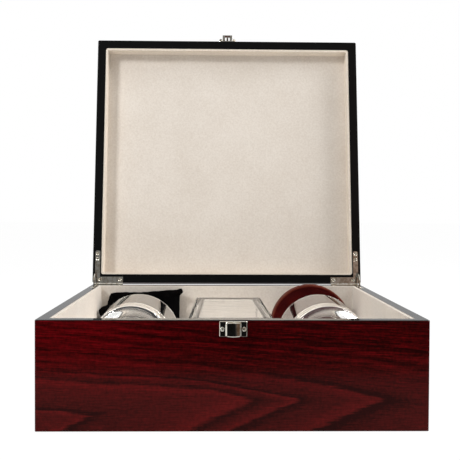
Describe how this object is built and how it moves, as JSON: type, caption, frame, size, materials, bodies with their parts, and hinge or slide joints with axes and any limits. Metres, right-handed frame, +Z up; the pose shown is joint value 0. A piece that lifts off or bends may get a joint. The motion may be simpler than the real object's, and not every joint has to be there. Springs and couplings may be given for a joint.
{
  "type": "presentation box",
  "caption": "Lidded wooden presentation box with quadrant hinges and snap catch, holding a square decanter, tumblers, a pouch and coasters.",
  "frame": {"origin": "centre of the underside, on the surface that the box stands on", "axes": "+X to the right seen from the front, +Y to the back where the hinges are, +Z up"},
  "size_m": [0.35, 0.419, 0.4349],
  "materials": {
    "wood_veneer": "deep red rosewood-figured veneer under gloss lacquer, rims lacquered black",
    "suede_lining": "cream suede-cloth lining",
    "suede_insert": "cream suede-cloth over foam",
    "felt": "black baize",
    "nickel": "bright nickel plate",
    "clear_glass": "clear polished glass",
    "black_velvet": "black velvet",
    "coaster_leather": "dark maroon leather"
  },
  "bodies": {
    "case": {"case_front": "wood_veneer", "case_back": "wood_veneer", "case_left": "wood_veneer", "case_right": "wood_veneer", "case_base": "wood_veneer", "base_felt": "felt", "lining_front": "suede_lining", "lining_back": "suede_lining", "lining_left": "suede_lining", "lining_right": "suede_lining", "lining_floor": "suede_lining", "insert_front_left": "suede_insert", "insert_front_right": "suede_insert", "insert_cradle_left": "suede_insert", "insert_cradle_right": "suede_insert", "insert_middle_left": "suede_insert", "insert_middle_right": "suede_insert", "insert_rear_right": "suede_insert", "insert_rear_middle": "suede_insert", "insert_wedge": "suede_insert", "hinge_case_leaf_left": "nickel", "hinge_case_leaf_right": "nickel", "hinge_pin_left": "nickel", "hinge_pin_right": "nickel", "hinge_case_screws": "nickel", "catch_plate": "nickel", "catch_pin": "nickel", "catch_spring": "nickel", "catch_screws": "nickel"},
    "lid": {"lid_front": "wood_veneer", "lid_back": "wood_veneer", "lid_left": "wood_veneer", "lid_right": "wood_veneer", "lid_top": "wood_veneer", "lid_panel": "suede_lining", "lid_lining_front": "suede_lining", "lid_lining_back": "suede_lining", "lid_lining_left": "suede_lining", "lid_lining_right": "suede_lining", "hinge_lid_leaf_left": "nickel", "hinge_lid_leaf_right": "nickel", "hinge_lid_screws": "nickel", "keeper": "nickel", "keeper_screws": "nickel"},
    "hinge_stay_left": {"hinge_stay_left": "nickel"},
    "hinge_stay_right": {"hinge_stay_right": "nickel"},
    "catch_lever": {"catch_lever": "nickel"},
    "decanter": {"decanter": "clear_glass"},
    "stopper": {"decanter_stopper": "clear_glass"},
    "tumbler_left": {"tumbler_left": "clear_glass"},
    "tumbler_right": {"tumbler_right": "clear_glass"},
    "pouch": {"pouch": "black_velvet"},
    "coaster_rear": {"coaster_rear": "coaster_leather"},
    "coaster_front": {"coaster_front": "coaster_leather"}
  },
  "joints": [
    {"name": "lid_hinge", "type": "hinge", "parent": "case", "child": "lid", "pos_m": [0, 0.1662, 0.10015], "axis": [-1, 0, 0], "range_deg": [-98.9, 0]},
    {"name": "hinge_stay_left_slide", "type": "hinge", "parent": "case", "child": "hinge_stay_left", "pos_m": [0, 0.1662, 0.10015], "axis": [-1, 0, 0], "range_deg": [-49.5, 0]},
    {"name": "hinge_stay_right_slide", "type": "hinge", "parent": "case", "child": "hinge_stay_right", "pos_m": [0, 0.1662, 0.10015], "axis": [-1, 0, 0], "range_deg": [-49.5, 0]},
    {"name": "catch_lever_hinge", "type": "hinge", "parent": "case", "child": "catch_lever", "pos_m": [0, -0.167, 0.087], "axis": [1, 0, 0], "range_deg": [-5.5, 40], "stiffness_Nm_per_rad": 0.05},
    {"name": "decanter_lift", "type": "slide", "parent": "case", "child": "decanter", "axis": [0, 0, 1], "range_m": [0, 0.11]},
    {"name": "stopper_draw", "type": "slide", "parent": "decanter", "child": "stopper", "axis": [0, -0.9997, -0.0253], "range_m": [0, 0.013]},
    {"name": "tumbler_left_lift", "type": "slide", "parent": "case", "child": "tumbler_left", "axis": [0, 0, 1], "range_m": [0, 0.11]},
    {"name": "tumbler_right_lift", "type": "slide", "parent": "case", "child": "tumbler_right", "axis": [0, 0, 1], "range_m": [0, 0.11]},
    {"name": "pouch_lift", "type": "slide", "parent": "case", "child": "pouch", "axis": [0, 0, 1], "range_m": [0, 0.11]},
    {"name": "coaster_rear_lift", "type": "slide", "parent": "case", "child": "coaster_rear", "axis": [0, 0, 1], "range_m": [0, 0.11]},
    {"name": "coaster_front_lift", "type": "slide", "parent": "case", "child": "coaster_front", "axis": [0, 0, 1], "range_m": [0, 0.11]}
  ],
  "couplings": [
    {"joint": "hinge_stay_left_slide", "follows": "lid_hinge", "ratio": 0.5},
    {"joint": "hinge_stay_right_slide", "follows": "lid_hinge", "ratio": 0.5}
  ]
}
